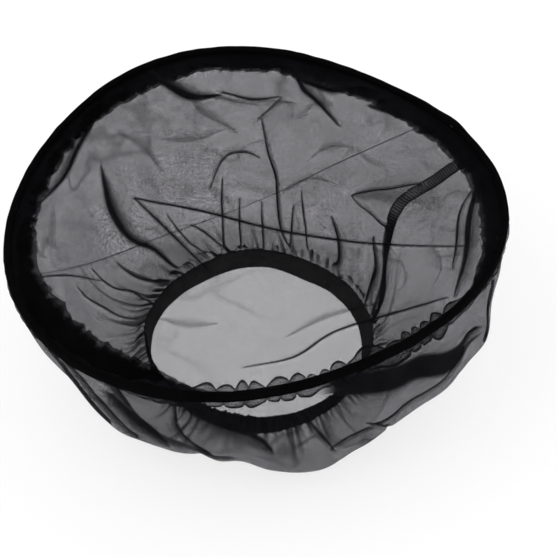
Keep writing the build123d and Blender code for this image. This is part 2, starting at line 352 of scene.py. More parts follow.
NET_BLACK = (0.005, 0.005, 0.006)
NET_THICKNESS = 0.22 * MM  # between the net's two faces
CLEAR = 0.45  # of the light that one layer of flat net lets through
NET = net_material("net_black", 0.62 * MM, 0.108 * MM, NET_BLACK, math.radians(45))
WALL_NET = net_material("wall_net_black", 0.55 * MM, 0.106 * MM, NET_BLACK, math.radians(8))
HEM = net_material("hem_black", 0.7 * MM, 0.16 * MM, (0.0012, 0.0012, 0.0014), math.radians(20))
TAPE = woven_material("rim_tape_black", (0.0018, 0.0018, 0.002), 0.9 * MM)
NECK_TAPE = woven_material("neck_tape_grey", (0.024, 0.024, 0.0235), 1.1 * MM)
OVERLOCK_LOOP = 2.7 * MM
SEAM_WIDE = 4.8  # the bound seam's half width at the rim, in mm
SEAM_BOUND = 0.115  # the length of seam, from the rim, whose thread shows pale
SEAM = overlock_material("overlocked_net", OVERLOCK_LOOP, SEAM_WIDE * MM, SEAM_BOUND)
ELASTIC = woven_material("elastic_black", (0.008, 0.008, 0.008), 1.4 * MM)
STEEL = drawn_steel("spring_steel_wire")


# -------- cloth grids
def upsample(grid, times, axis, closed):
    """Catmull-Rom points between the rows or columns of a grid, times as close."""
    data = np.moveaxis(grid, axis, 0)
    count = len(data)
    steps = count * times if closed else (count - 1) * times + 1
    at = np.arange(steps) / times
    i = np.floor(at).astype(int)
    t = (at - i).reshape((-1,) + (1,) * (data.ndim - 1))
    if closed:
        p = [data[(i + k) % count] for k in (-1, 0, 1, 2)]
    else:
        ends = np.concatenate([[2 * data[0] - data[1]], data, [2 * data[-1] - data[-2]] * 2])
        p = [ends[np.minimum(i + k + 1, len(ends) - 1)] for k in (-1, 0, 1, 2)]
    a = 2 * p[1]
    b = p[2] - p[0]
    c = 2 * p[0] - 5 * p[1] + 4 * p[2] - p[3]
    d = -p[0] + 3 * p[1] - 3 * p[2] + p[3]
    return np.moveaxis(0.5 * (a + b * t + c * t**2 + d * t**3), 0, axis)


FINER = 5  # how many times closer a grid's points are after it has been draped


def finer(grid, closed):
    return upsample(upsample(grid, FINER, 1, closed), FINER, 0, False)


def grid_faces(rows, columns, closed, first=0):
    """Quads of a grid whose points run along each row."""
    wide = columns if closed else columns - 1
    return [(first + j * columns + i, first + j * columns + (i + 1) % columns,
             first + (j + 1) * columns + (i + 1) % columns, first + (j + 1) * columns + i)
            for j in range(rows - 1) for i in range(wide)]


def grid_normals(grid, closed):
    """Unit normals of a (rows, columns, 3) grid."""
    down = np.gradient(grid, axis=0)
    if closed:
        across = (np.roll(grid, -1, 1) - np.roll(grid, 1, 1)) / 2
    else:
        across = np.gradient(grid, axis=1)
    normal = np.cross(across, down)
    return normal / np.maximum(np.linalg.norm(normal, axis=2, keepdims=True), 1e-9)


def collider(name, verts, faces):
    """Something solid that cloth rests on. It is removed when the cloth has settled."""
    obj = mesh_object(name, verts, faces)
    obj.modifiers.new("collision", "COLLISION")
    obj.collision.thickness_outer = 1.2 * MM
    obj.collision.thickness_inner = 10 * MM
    obj.collision.cloth_friction = 8
    return obj


def simulate(verts, faces, rest, pinned, frames, colliders, folds, bending):
    """Drapes a net whose flat shape is rest from its starting shape, and returns the points. folds says
    whether it may touch itself."""
    obj = mesh_object("draping", verts, faces)
    obj.shape_key_add(name="start")
    key = obj.shape_key_add(name="rest")
    key.data.foreach_set("co", np.array(rest, np.float32).ravel())
    key.value = 0
    obj.active_shape_key_index = 0
    group = obj.vertex_groups.new(name="pin")
    group.add([int(i) for i in pinned], 1.0, "REPLACE")
    cloth = obj.modifiers.new("cloth", "CLOTH")
    s = cloth.settings
    s.quality = 6
    s.mass = 0.02
    s.air_damping = 2
    s.tension_stiffness = s.compression_stiffness = 10
    s.shear_stiffness = 3
    s.bending_stiffness = bending
    s.vertex_group_mass = "pin"
    s.rest_shape_key = key
    hits = cloth.collision_settings
    hits.use_collision = bool(colliders)
    hits.distance_min = 1.2 * MM
    hits.use_self_collision = folds
    hits.self_distance_min = 1.5 * MM
    scene = bpy.context.scene
    scene.frame_end = cloth.point_cache.frame_end = frames
    for f in range(1, frames + 1):
        scene.frame_set(f)
    shown = obj.evaluated_get(bpy.context.evaluated_depsgraph_get())
    points = np.zeros(len(verts) * 3)
    shown.data.vertices.foreach_get("co", points)
    for gone in [obj] + list(colliders):
        bpy.data.objects.remove(gone)
    scene.frame_set(1)
    return points.reshape(-1, 3)


class Cloth:
    """Collects grids of net, each with its cloth map and density, into one piece."""

    def __init__(self):
        self.verts, self.faces, self.uvs, self.dense = [], [], [], []

    def add(self, points, uvs, dense):
        rows, columns = points.shape[:2]
        self.faces += grid_faces(rows, columns, False, len(self.verts))
        self.verts += points.reshape(-1, 3).tolist()
        self.uvs += uvs.reshape(-1, 2).tolist()
        self.dense += np.broadcast_to(dense, (rows, columns)).ravel().tolist()

    def make(self, name, material, thickness):
        """One object with two faces a thread apart, so that the net looks closer edge-on."""
        obj = mesh_object(name, self.verts, self.faces, self.uvs)
        layer = obj.data.attributes.new("closed", "FLOAT", "POINT")
        layer.data.foreach_set("value", np.array(self.dense, np.float32))
        obj.data.materials.append(material)
        solid = obj.modifiers.new("thread", "SOLIDIFY")
        solid.thickness = thickness
        solid.offset = 0
        with bpy.context.temp_override(object=obj, active_object=obj, selected_objects=[obj]):
            bpy.ops.object.modifier_apply(modifier=solid.name)
        return obj


def pressed(u, v, folds, around=None):
    """How far folds lift a net and how far they close it, at places u and v on the cloth in mm. Each fold
    is sharp on its left side and fades out on its right. around is the length of a cloth that closes on
    itself."""
    tall, dense = np.zeros(u.shape), np.zeros(u.shape)
    for path, soft, _, raised in folds:
        line = upsample(np.array(path, float), 3, 0, False)
        best, across = np.full(u.shape, 1e9), np.zeros(u.shape)
        for (u0, v0, w0), (u1, v1, w1) in zip(line, line[1:]):
            du, dv, ru, rv = u - u0, v - v0, u1 - u0, v1 - v0
            if around:
                du = (du + around / 2) % around - around / 2
            t = np.clip((du * ru + dv * rv) / (ru * ru + rv * rv), 0, 1)
            away = np.hypot(du - t * ru, dv - t * rv)
            nearer = away < best
            best = np.where(nearer, away, best)
            across = np.where(nearer, np.sign(ru * dv - rv * du) * away / (w0 + (w1 - w0) * t), across)
        tall += raised * MM * np.exp(-(across ** 2))
        dense += soft * np.exp(-((across / np.where(across < 0, 0.4, 1.2)) ** 2))
    return tall, dense


def crease(at, path, dense, across=3, closer=8):
    """The doubled net along a fold's sharp edge: a narrow strip just off the net. path rows are u, v and
    the fold's half width in mm. Gives points, cloth map and density."""
    line = upsample(np.array(path, float), closer, 0, False)
    run = np.gradient(line[:, :2], axis=0)
    side = np.stack([-run[:, 1], run[:, 0]], 1) / np.linalg.norm(run, axis=1, keepdims=True)
    s = np.linspace(-1, 1, across)
    half = np.maximum(0.3 * line[:, 2], 0.25)
    uv = (line[:, None, :2] + side[:, None, :] * (half[:, None, None] * s[None, :, None])) * MM
    points = np.zeros(uv.shape[:2] + (3,))
    for k in range(uv.shape[0]):
        for m in range(across):
            point, normal = at(*uv[k, m])
            points[k, m] = Vector(point) + Vector(normal) * (0.35 + 0.3 * (1 - s[m] ** 2)) * MM
    ends = np.sin(np.pi * np.linspace(0.04, 0.96, len(line))) ** 0.5
    return points, uv, dense * np.broadcast_to(ends[:, None], uv.shape[:2])


def crumple(grid, seed, scale, height, dark):
    """Faint random creases: height and density of thin ridges that come and go over a net."""
    tall, dense = np.zeros(grid.shape[:2]), np.zeros(grid.shape[:2])
    for j, i in np.ndindex(*tall.shape):
        x, y, z = grid[j, i] * scale
        patch = max(0.0, noise_at(0.6 * x, 0.6 * y, 0.6 * z + seed) + 0.25)
        bend = 0.5 * noise_at(2 * x, 2 * y, 2 * z + seed)
        ridge = math.exp(-((noise_at(x + bend, 1.6 * y - bend, z + seed + 9) / 0.08) ** 2))
        tall[j, i] = height * (noise_at(1.3 * x, 1.3 * y, 1.3 * z + seed) + 0.5 * ridge * patch)
        dense[j, i] = dark * ridge * patch
    return tall, dense


def relax(grid, times, closed):
    """Smooths out ripples finer than the photograph's net has, and leaves the edges where they are."""
    for _ in range(times):
        inner = grid[1:-1]
        up, down = grid[:-2], grid[2:]
        if closed:
            left, right = np.roll(inner, 1, 1), np.roll(inner, -1, 1)
            grid = np.concatenate([grid[:1], inner / 2 + (up + down + left + right) / 8, grid[-1:]])
        else:
            middle = inner[:, 1:-1] / 2 + (up + down)[:, 1:-1] / 8 + (inner[:, :-2] + inner[:, 2:]) / 8
            grid = grid.copy()
            grid[1:-1, 1:-1] = middle
    return grid


# -------- the neck band's shape
# How far the band leans outward, in degrees, and how far it stands out of round, in mm. The first number
# of each pair is its place, in degrees from +X to +Y.
BAND_LEAN = ((0, 25), (60, 8), (90, 2), (120, 4), (180, 11), (230, 8), (270, 2), (310, 10))
BAND_OUT = ((0, 0.2), (60, -0.8), (93, 2.6), (127, -0.8), (180, 0.2), (235, 0), (270, 2.2), (310, 0))


def band_point(angle, out, up):
    """Radius and height of a place on the leaning band: out from its middle, up along it."""
    c, s = math.cos(angle), math.sin(angle)
    lean = math.radians(by_angle(angle, BAND_LEAN) + 5 * noise_at(5 * c, 5 * s, 21))
    middle = BAND_R - 2.5 * MM + by_angle(angle, BAND_OUT) * MM + 0.6 * MM * noise_at(3 * c, 3 * s, 22)
    return (middle + out * math.cos(lean) + up * math.sin(lean),
            BAND_H / 2 * math.cos(lean) + 0.3 * MM + up * math.cos(lean) - out * math.sin(lean))


# -------- side wall
WALL_FLAT = (1.01, 0.68, 0.205)  # the curved strip's long edge at the rim, its neck edge, and its height
WALL_COLUMNS, WALL_ROWS = 200, 44
WALL_FRAMES = 45
START_WAVE = 9  # how far the net waves in and out before it is draped, in mm
CROWDING = 0.35  # how much of the gathered net's extra layers lies between its folds
SPLIT_Z = 0.090  # the height where the wall is cut into its upper and lower piece
# Height, mean radius and share of the hoop's waves, from the rim down to the foot.
HUNG = ((HOOP_Z - 5.5 * MM, HOOP[0], 1.0), (0.100, 0.1555, 0.7), (0.066, 0.147, 0.5),
        (0.030, 0.1285, 0.35), (0.012, 0.112, 0.2), (0.003, 0.0985, 0.0))
MOUTH = (BAND_H - 0.5 * MM, BAND_R - 2.5 * MM, 0)
FOOT = ((0.004, 0.088, 0), (0.013, 0.081, 0), (0.0195, BAND_R + 1.0 * MM, 0), MOUTH)
# Where the seam's column of net stands: share of the way down, and degrees from +X to +Y.
SEAM_SWING = ((0, 25), (0.12, 28.5), (0.29, 35), (0.44, 42), (0.52, 42.5), (0.62, 39), (0.68, 36),
              (0.75, 30), (0.84, 22), (1, 6))
SEAM_TOP = math.radians(25)
# Where the slack net stands out further: degrees from +X to +Y, height, how far, and its spread in both.
BULGES = ((-75, 0.022, 13 * MM, 17, 0.020), (-14, 0.048, 21 * MM, 17, 0.027),
          (-6, 0.088, 9 * MM, 16, 0.022), (-42, 0.062, 7 * MM, 18, 0.026))


def wall_width(down):
    """How wide the strip is cut, from the rim (0) down to the neck (1)."""
    return WALL_FLAT[0] + (WALL_FLAT[1] - WALL_FLAT[0]) * down


def wall_map(turn, down):
    """The place on the strip as it was cut, an arc of a ring, for a share round and a share down."""
    bend = (WALL_FLAT[0] - WALL_FLAT[1]) / WALL_FLAT[2]
    radius = WALL_FLAT[0] / bend - WALL_FLAT[2] * down
    return np.dstack([radius * np.sin(bend * (turn - 0.5)), radius * np.cos(bend * (turn - 0.5))])


def wall_profile(rows):
    """Height, mean radius and share of each row of the net, evenly spaced down its length."""
    line = np.array(HUNG + FOOT)
    along = np.concatenate([[0], np.cumsum(np.linalg.norm(np.diff(line[:, :2], axis=0), axis=1))])
    at = np.linspace(0, along[-1], rows)
    return np.column_stack([np.interp(at, along, line[:, k]) for k in range(3)])


def wall_angle(turn, down):
    """Where a column of the net stands, at one height. The columns near the seam swing aside."""
    near = math.exp(-(((turn + math.pi) % (2 * math.pi) - math.pi) / 0.75) ** 2)
    swing = math.radians(np.interp(down, *zip(*SEAM_SWING))) - SEAM_TOP
    return SEAM_TOP + turn + near * swing


def wall_stops():
    """What the net settles onto: the table, and the outside of the neck band."""
    n = 64
    floor_z = -0.6 * MM
    half = BAND_H / 2
    section = ((1.1 * MM, -half), (1.1 * MM, half - 2 * MM), (0, half - 2 * MM), (-1.1 * MM, half - 4 * MM))
    ring = []
    for out, up in section:
        for angle, c, s in circle(n):
            r, z = band_point(angle, out, up)
            ring.append((r * c, r * s, z))
    table = [(-1, -1, floor_z), (1, -1, floor_z), (1, 1, floor_z), (-1, 1, floor_z)]
    return [collider("low_stop", table, [(0, 1, 2, 3)]),
            collider("band_stop", ring, grid_faces(len(section), n, True))]


def drape_wall():
    """The net wall's points as a grid, hung from the hoop and gathered onto the neck band."""
    taper = (WALL_FLAT[0] - WALL_FLAT[1]) / (2 * math.pi)
    drop = math.sqrt(WALL_FLAT[2] ** 2 - taper ** 2)
    start, rest = [], []
    for j, (z, mean, share) in enumerate(wall_profile(WALL_ROWS)):
        down = j / (WALL_ROWS - 1)
        edge = math.sin(math.pi * down)
        for turn, c, s in circle(WALL_COLUMNS):
            angle = wall_angle(turn, down)
            rough = noise_at(3 * c, 3 * s, 2 * down) + 0.6 * noise_at(7 * c + 9, 7 * s, 3 * down)
            wave = edge * START_WAVE * MM * rough
            r = mean + share * (hoop_radius(angle) - HOOP[0]) + wave
            up = max(z + 0.3 * abs(wave), 2 * MM)
            at_band = float(smooth((down - 0.86) / 0.14))
            top_r, top_z = band_point(angle, 0, BAND_H / 2 - 0.8 * MM)
            r += at_band * (top_r - MOUTH[1])
            up += at_band * (top_z - MOUTH[0])
            start.append((r * math.cos(angle), r * math.sin(angle), up))
            radius = wall_width(down) / (2 * math.pi)
            rest.append((radius * c, radius * s, HOOP_Z - drop * down))
    last = (WALL_ROWS - 1) * WALL_COLUMNS
    pinned = list(range(WALL_COLUMNS)) + list(range(last, last + WALL_COLUMNS))
    points = np.array(start)
    faces = grid_faces(WALL_ROWS, WALL_COLUMNS, True)
    points = simulate(start, faces, rest, pinned, WALL_FRAMES, wall_stops(), folds=True, bending=0.15)
    grid = relax(points.reshape(WALL_ROWS, WALL_COLUMNS, 3), 5, True)
    grid = finer(grid, True)
    turn = np.degrees(np.arctan2(grid[:, :, 1], grid[:, :, 0]))
    r = np.hypot(grid[:, :, 0], grid[:, :, 1])
    free = np.sin(np.pi * np.linspace(0, 1, len(grid)))[:, None] ** 0.5
    for angle, height, out, wide, tall in BULGES:
        aside = (turn - angle + 180) % 360 - 180
        more = out * free * np.exp(-(aside / wide) ** 2 - ((grid[:, :, 2] - height) / tall) ** 2)
        grid = grid + (grid * (1, 1, 0)) * (more / r)[:, :, None]
    return grid


PLEATS = 150  # gathers at the neck
PLEAT_LENGTHS = ([0.10, 0.16, 0.26, 0.42], [0.42, 0.33, 0.18, 0.07])  # shares of the height, and how often
PLEAT_FOOT = 0.93  # the share of the way down where the gathers are fullest


def pleats(rows, columns):
    """How far the gathers at the neck stand off the net, in metres, and how they close it."""
    chance = np.random.default_rng(7)
    turn = np.arange(columns)[None, :] / columns
    down = np.linspace(0, 1, rows)[:, None]
    tall, dense = np.zeros((rows, columns)), np.zeros((rows, columns))
    lengths, often = PLEAT_LENGTHS
    for k in range(PLEATS):
        place = (k + chance.uniform(-0.45, 0.45)) / PLEATS
        length = chance.choice(lengths, p=often) * chance.uniform(0.7, 1.2)
        width = chance.uniform(0.0016, 0.0026)
        height = chance.choice([-1, 1, 1]) * chance.uniform(1.2, 2.6) * MM
        bend = chance.uniform(-0.05, 0.05)
        above = np.clip((PLEAT_FOOT - down) / length, 0, 1)
        across = (turn - place - bend * (PLEAT_FOOT - down) * above + 0.5) % 1 - 0.5
        shape = np.exp(-(across / width) ** 2) * (1 - smooth(above)) * smooth((1 - down) / 0.05)
        tall += height * shape
        dense += abs(height) / (2.6 * MM) * 0.6 * shape
    return tall, dense


# The wall's folds. Each has its path as (u, v, half width) in mm on the cloth, where u runs round from the
# seam towards +Y and v down from the rim; how far it closes the net softly, and sharply along its crease;
# and how far it stands inward in mm.
ROUND = WALL_FLAT[0] / MM
WALL_FOLDS = (
    # the far side: a broad fold, tall pleats and loops above the neck band
    (((313, 60, 0.8), (315, 80, 4.0), (317, 105, 7.0), (313, 132, 6.5), (299, 151, 4.5), (300, 185, 1.5)),
     0.8, 0.2, 2.5),
    (((176, 60, 0.8), (169, 82, 2.0), (158, 106, 2.4), (157, 132, 2.6), (153, 160, 2.2), (145, 185, 1.2)),
     0.5, 0.85, 2.5),
    (((210, 112, 0.8), (217, 145, 1.8), (230, 190, 1.0)), 0.5, 0.75, 1.5),
    (((222, 116, 1.0), (208, 96, 3.0), (192, 88, 3.0), (176, 92, 1.0)), 0.3, 0.3, 1.2),
    (((196, 130, 0.8), (201, 158, 1.6), (207, 190, 1.0)), 0.45, 0.8, 1.5),
    (((175, 130, 0.8), (176, 156, 1.6), (178, 190, 1.0)), 0.45, 0.8, 1.5),
    (((139, 130, 0.8), (142, 152, 1.6), (146, 188, 1.0)), 0.45, 0.8, 1.5),
    (((130, 116, 0.8), (127, 143, 1.6), (122, 188, 1.0)), 0.45, 0.8, 1.5),
    (((92, 136, 0.8), (84, 150, 4.5), (82, 166, 4.5), (90, 190, 1.5)), 0.6, 0.7, 1.5),
    (((20, 132, 1.0), (15, 152, 6.0), (25, 171, 5.0), (32, 190, 1.5)), 0.65, 0.6, 1.8),
    (((250, 142, 0.8), (238, 154, 2.0), (225, 176, 1.2)), 0.4, 0.7, 1.5),
    (((268, 128, 0.8), (262, 150, 2.0), (250, 184, 1.2)), 0.35, 0.5, 1.5),
    (((340, 140, 1.0), (338, 160, 3.0), (330, 186, 1.2)), 0.45, 0.5, 1.8),
    (((366, 128, 0.8), (365, 154, 2.4), (362, 172, 2.4), (380, 198, 1.0)), 0.5, 0.6, 1.8),
    (((395, 120, 0.8), (398, 150, 3.0), (404, 185, 1.2)), 0.4, 0.4, 1.8),
    # the far side's soft wrinkles
    (((150, 40, 1.0), (185, 44, 4.0), (222, 36, 1.0)), 0.3, 0.0, 1.2),
    (((232, 30, 1.0), (222, 52, 4.0), (196, 72, 1.0)), 0.35, 0.0, 1.2),
    (((255, 66, 1.0), (232, 74, 4.0), (205, 70, 1.0)), 0.3, 0.0, 1.2),
    (((120, 84, 1.0), (104, 70, 4.0), (84, 66, 1.0)), 0.3, 0.0, 1.2),
    (((292, 40, 1.0), (276, 62, 4.0), (262, 92, 1.0)), 0.25, 0.0, 1.2),
    (((150, 118, 1.0), (118, 104, 3.5), (84, 108, 1.0)), 0.25, 0.0, 1.2),
    # the flap beside the seam
    (((50, 105, 0.6), (26, 98, 11.0), (2, 88, 20.0)), 0.3, 0.0, 1.0),
    (((50, 105, 0.8), (30, 93, 1.8), (15, 80, 2.2), (1, 58, 1.2)), 0.35, 0.75, 0.8),
    (((50, 105, 0.8), (34, 112, 1.8), (16, 117, 2.4), (0, 117, 2.0)), 0.4, 0.75, 0.8),
    # the net doubled beside the seam's lower half
    (((0, 98, 2.0), (5, 122, 5.0), (3, 150, 6.5), (8, 176, 4.5), (4, 198, 1.5)), 0.6, 0.0, 1.0),
    # the near side: a broad dark band, a crease below it, and layered folds
    (((748, 4, 10.0), (790, 20, 14.0), (832, 40, 11.0), (878, 60, 3.0)), 0.85, 0.0, 2.0),
    (((874, 70, 3.0), (836, 58, 9.0), (794, 38, 11.0), (748, 20, 8.0)), 0.75, 0.0, 1.0),
    (((747, 104, 1.0), (774, 84, 2.5), (816, 72, 2.5), (862, 62, 1.0)), 0.4, 0.7, 1.5),
    (((640, 4, 6.0), (662, 34, 10.0), (684, 62, 8.0), (700, 96, 2.5)), 0.6, 0.3, 2.0),
    (((634, 14, 1.5), (634, 60, 4.0), (652, 104, 1.5)), 0.5, 0.5, 2.0),
    (((594, 8, 4.0), (602, 50, 9.0), (616, 100, 3.0)), 0.6, 0.4, 2.0),
    (((556, 8, 3.0), (574, 50, 7.0), (592, 100, 2.0)), 0.6, 0.4, 2.0),
    (((530, 30, 1.0), (545, 66, 3.0), (565, 104, 1.0)), 0.4, 0.5, 2.0),
    (((588, 24, 4.0), (604, 64, 9.0), (634, 88, 11.0), (664, 98, 7.0)), 0.6, 0.0, 1.0),
    (((724, 40, 1.0), (735, 70, 3.5), (752, 110, 1.0)), 0.3, 0.3, 2.0),
    (((806, 120, 1.0), (790, 96, 3.0), (770, 70, 1.0)), 0.3, 0.4, 1.5),
    (((905, 30, 1.0), (898, 60, 4.0), (884, 92, 1.0)), 0.4, 0.4, 2.0),
)


def build_wall():
    """The hanging net in two pieces. Returns how to find a place on it, the cloth height where the two
    meet, and the lowest and highest place of that line."""
    grid = drape_wall()
    rows, columns = grid.shape[:2]
    turn, down = np.meshgrid(np.arange(columns) / columns, np.linspace(0, 1, rows))
    rumpled, creased = crumple(grid, 3, 26, 1.2 * MM, 0.3)
    rumpled *= np.sin(np.pi * down) ** 0.5
    folded, closed = pressed(turn * ROUND, down * WALL_FLAT[2] / MM, WALL_FOLDS, ROUND)
    tall, dense = pleats(rows, columns)
    # where the cloth is gathered closer than it was cut, its threads crowd together
    around = np.linalg.norm(np.roll(grid, -1, 1) - grid, axis=2).sum(1)
    crowd = np.clip(wall_width(np.linspace(0, 1, rows)) / around - 1, 0, 2)[:, None]
    grid = grid + grid_normals(grid, True) * (tall + rumpled + folded)[:, :, None]
    dense = np.clip(dense + creased + closed + 1 - CLEAR ** (CROWDING * crowd), 0, 0.9)
    grid, dense = [np.concatenate([a, a[:, :1]], 1) for a in (grid, dense)]
    normal = grid_normals(grid, False)
    uvs = wall_map(*np.meshgrid(np.arange(columns + 1) / columns, np.linspace(0, 1, rows)))

    def at(u, v):
        """The net's point and inward normal at a place on the cloth, in metres."""
        x, y = (u / WALL_FLAT[0]) % 1 * columns, min(max(v / WALL_FLAT[2], 0), 1) * (rows - 1)
        i, j = int(x), min(int(y), rows - 2)
        a, b = x - i, y - j
        mix = (((1 - a) * (1 - b), j, i), (a * (1 - b), j, i + 1),
               ((1 - a) * b, j + 1, i), (a * b, j + 1, i + 1))
        return sum(w * grid[p, q] for w, p, q in mix), normal[j, i]

    split = int(np.argmin(np.abs(grid[:, :, 2].mean(1) - SPLIT_Z)))
    share = split / (rows - 1)
    split_v = share * WALL_FLAT[2]
    upper, lower = Cloth(), Cloth()
    upper.add(grid[:split + 1], uvs[:split + 1], dense[:split + 1])
    lower.add(grid[split:], uvs[split:], dense[split:])
    for path, _, sharp, _ in WALL_FOLDS:
        if not sharp:
            continue
        points, cloth, shade = crease(at, path, sharp)
        high = cloth[:, :, 1].mean(1) <= split_v
        for piece, mine in ((upper, high), (lower, ~high)):
            if mine.sum() > 1:
                piece.add(points[mine], cloth[mine], shade[mine])
    made = [upper.make("side_net_upper", WALL_NET, NET_THICKNESS),
            lower.make("side_net_lower", WALL_NET, NET_THICKNESS)]
    meets = float(grid[split, :, 2].min()), float(grid[split, :, 2].max())
    blend_wall(*made, meets)
    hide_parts("side_wall")
    return at, split_v, meets


def blend_wall(upper, lower, meets):
    """Bakes each piece's placing into its points. meets, the lowest and highest place where the two parts
    join, is not used."""
    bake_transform(upper)
    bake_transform(lower)


# The seam allowance's half width at a share of the way down the wall, in mm.
SEAM_HALF = ((0, SEAM_WIDE), (0.46, SEAM_WIDE), (0.55, 3.8), (0.64, 3.2), (1, 2.4))


def build_seam(at, split_v, meets):
    """The wall's one seam: both edges of the net bound together by overlock loops, lying on the inside."""
    step, across = 0.4 * MM, 9
    uvs, points = [], []
    for k in range(int((WALL_FLAT[2] - 5 * MM) / step)):
        v = 2 * MM + k * step
        share = v / WALL_FLAT[2]
        half = float(np.interp(share, *zip(*SEAM_HALF))) + 0.35 * noise_at(60 * v, 3)
        half += 0.25 * noise_at(300 * v, 7)
        ridge = 0.5 + 0.5 * math.sin(2 * math.pi * v / OVERLOCK_LOOP)
        wander = 0.9 * noise_at(25 * v, 11)
        for m in range(across):
            t = 2 * m / (across - 1) - 1
            point, inward = at((wander + t * (half + 0.3 * ridge)) * MM, v)
            lift = 0.7 + 0.5 * (1 - t * t) + 0.8 * ridge * (1 - t ** 6) + 0.5 * noise_at(40 * v, 3 * t)
            points.append(Vector(point) + Vector(inward) * lift * MM)
            uvs.append((v, (t * half + 2 * SEAM_WIDE) * MM))
    points = np.array(points).reshape(-1, across, 3)
    uvs = np.array(uvs).reshape(-1, across, 2)
    split = int(np.argmin(np.abs(uvs[:, 0, 0] - split_v)))
    made = []
    for name, part in (("seam_upper", slice(None, split + 1)), ("seam_lower", slice(split, None))):
        strip = Cloth()
        strip.add(points[part], uvs[part], 1.0)
        made.append(strip.make(name, SEAM, 0.7 * MM))
    blend_wall(*made, meets)
    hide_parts("side_seam", "side_seam_overlock")


# -------- crown
CROWN_CELLS = 56
CROWN_FRAMES = 30
CROWN_SLACK = 1.012  # how much larger the net is cut than the opening it covers
CROWN_DIP = 12 * MM  # how far its middle hangs before it is draped
CROWN_Z = HOOP_Z - 1.5 * MM
CROWN_INSET = 2.2 * MM
# The crown's folds, as the wall's are given: the path is x, y and half width in mm on the cloth.
CROWN_FOLDS = (
    (((-146, 12, 0.8), (-128, 41, 3.5), (-119, 68, 4.0), (-106, 98, 1.0)), 0.6, 0.5, 0.8),
    (((-62, -80, 1.0), (-45, -86, 5.0), (-26, -84, 1.0)), 0.25, 0.0, 0.8),
    (((-81, 28, 1.6), (-38, 20, 2.4), (9, 5, 2.2), (66, -10, 2.0), (134, -21, 1.0)), 0.45, 0.9, 1.2),
    (((-81, 28, 1.6), (-61, 4, 2.2), (-33, -32, 1.2)), 0.4, 0.85, 1.0),
    (((-8, -127, 1.0), (24, -118, 2.0), (50, -94, 2.0), (89, -79, 2.4), (123, -68, 1.0)), 0.4, 0.85, 1.0),
    (((20, -96, 1.0), (46, -78, 3.5), (84, -66, 1.0)), 0.3, 0.0, 0.8),
    (((118, 92, 0.8), (55, 62, 1.2), (-4, 28, 0.6)), 0.0, 0.5, 0.3),
    (((-4, 28, 0.6), (-63, -4, 1.0), (-111, -33, 1.2), (-144, -47, 0.8)), 0.1, 0.3, 0.3),
    (((-145, -50, 1.2), (-123, -45, 1.6), (-99, -48, 0.8)), 0.3, 0.7, 0.6),
    (((-72, 136, 4.0), (-54, 121, 6.5), (-42, 116, 6.0), (-26, 119, 1.5)), 0.9, 0.7, 2.0),
    (((-24, 122, 1.2), (-4, 116, 2.4), (14, 118, 1.0)), 0.5, 0.7, 1.0),
    (((16, 118, 1.0), (8, 108, 2.2), (0, 100, 1.0)), 0.3, 0.4, 0.8),
    (((24, 142, 3.0), (30, 124, 4.5), (40, 112, 3.5), (54, 92, 1.0)), 0.6, 0.7, 1.5),
    (((28, 132, 3.0), (50, 121, 6.0), (69, 124, 5.0), (90, 113, 2.0)), 0.8, 0.7, 1.5),
    (((76, 106, 2.5), (95, 98, 5.5), (116, 86, 2.0)), 0.8, 0.7, 1.2),
    (((147, 40, 3.0), (139, 4, 6.0), (136, -30, 5.0), (128, -66, 1.5)), 0.45, 0.6, 1.5),
    (((144, 34, 1.0), (133, 10, 2.0), (130, -20, 2.5), (127, -40, 1.0)), 0.3, 0.6, 1.0),
)


def crown_edge(turn):
    """Where the net is sewn into the tape, from the middle."""
    return float(hoop_radius(turn)) - CROWN_INSET


